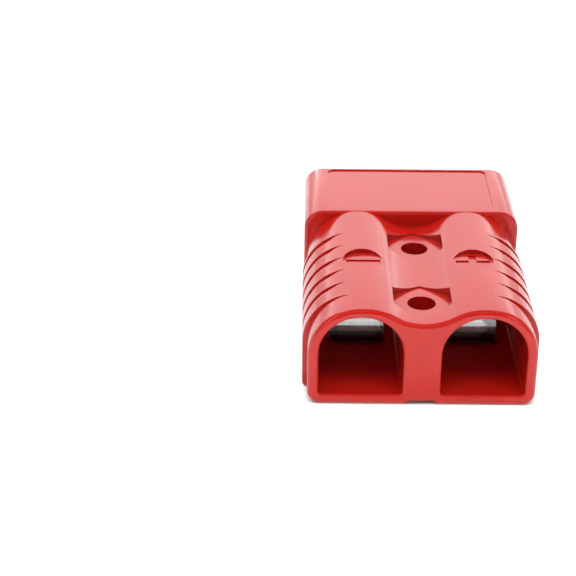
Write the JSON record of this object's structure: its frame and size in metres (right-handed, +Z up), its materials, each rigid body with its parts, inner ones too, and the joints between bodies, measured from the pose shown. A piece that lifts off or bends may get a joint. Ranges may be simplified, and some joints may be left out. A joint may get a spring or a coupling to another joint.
{
  "type": "genderless power connector",
  "caption": "Red genderless two-pole battery power connector housing with arched cable entries, side grip grooves, mounting holes with nut seats and sprung tongues under a hood.",
  "frame": {"origin": "middle of the flat underside, halfway along the housing", "axes": "+Z up from the underside to the crowns; +Y from the cable entries to the mating end; +X to the right of a viewer who looks into the cable entries"},
  "size_m": [0.0558, 0.0794, 0.0254],
  "materials": {
    "red_plastic": "gloss",
    "spring_steel": "polished"
  },
  "bodies": {
    "root": {"housing": "red_plastic", "spring_left": "spring_steel", "spring_right": "spring_steel"}
  },
  "joints": []
}
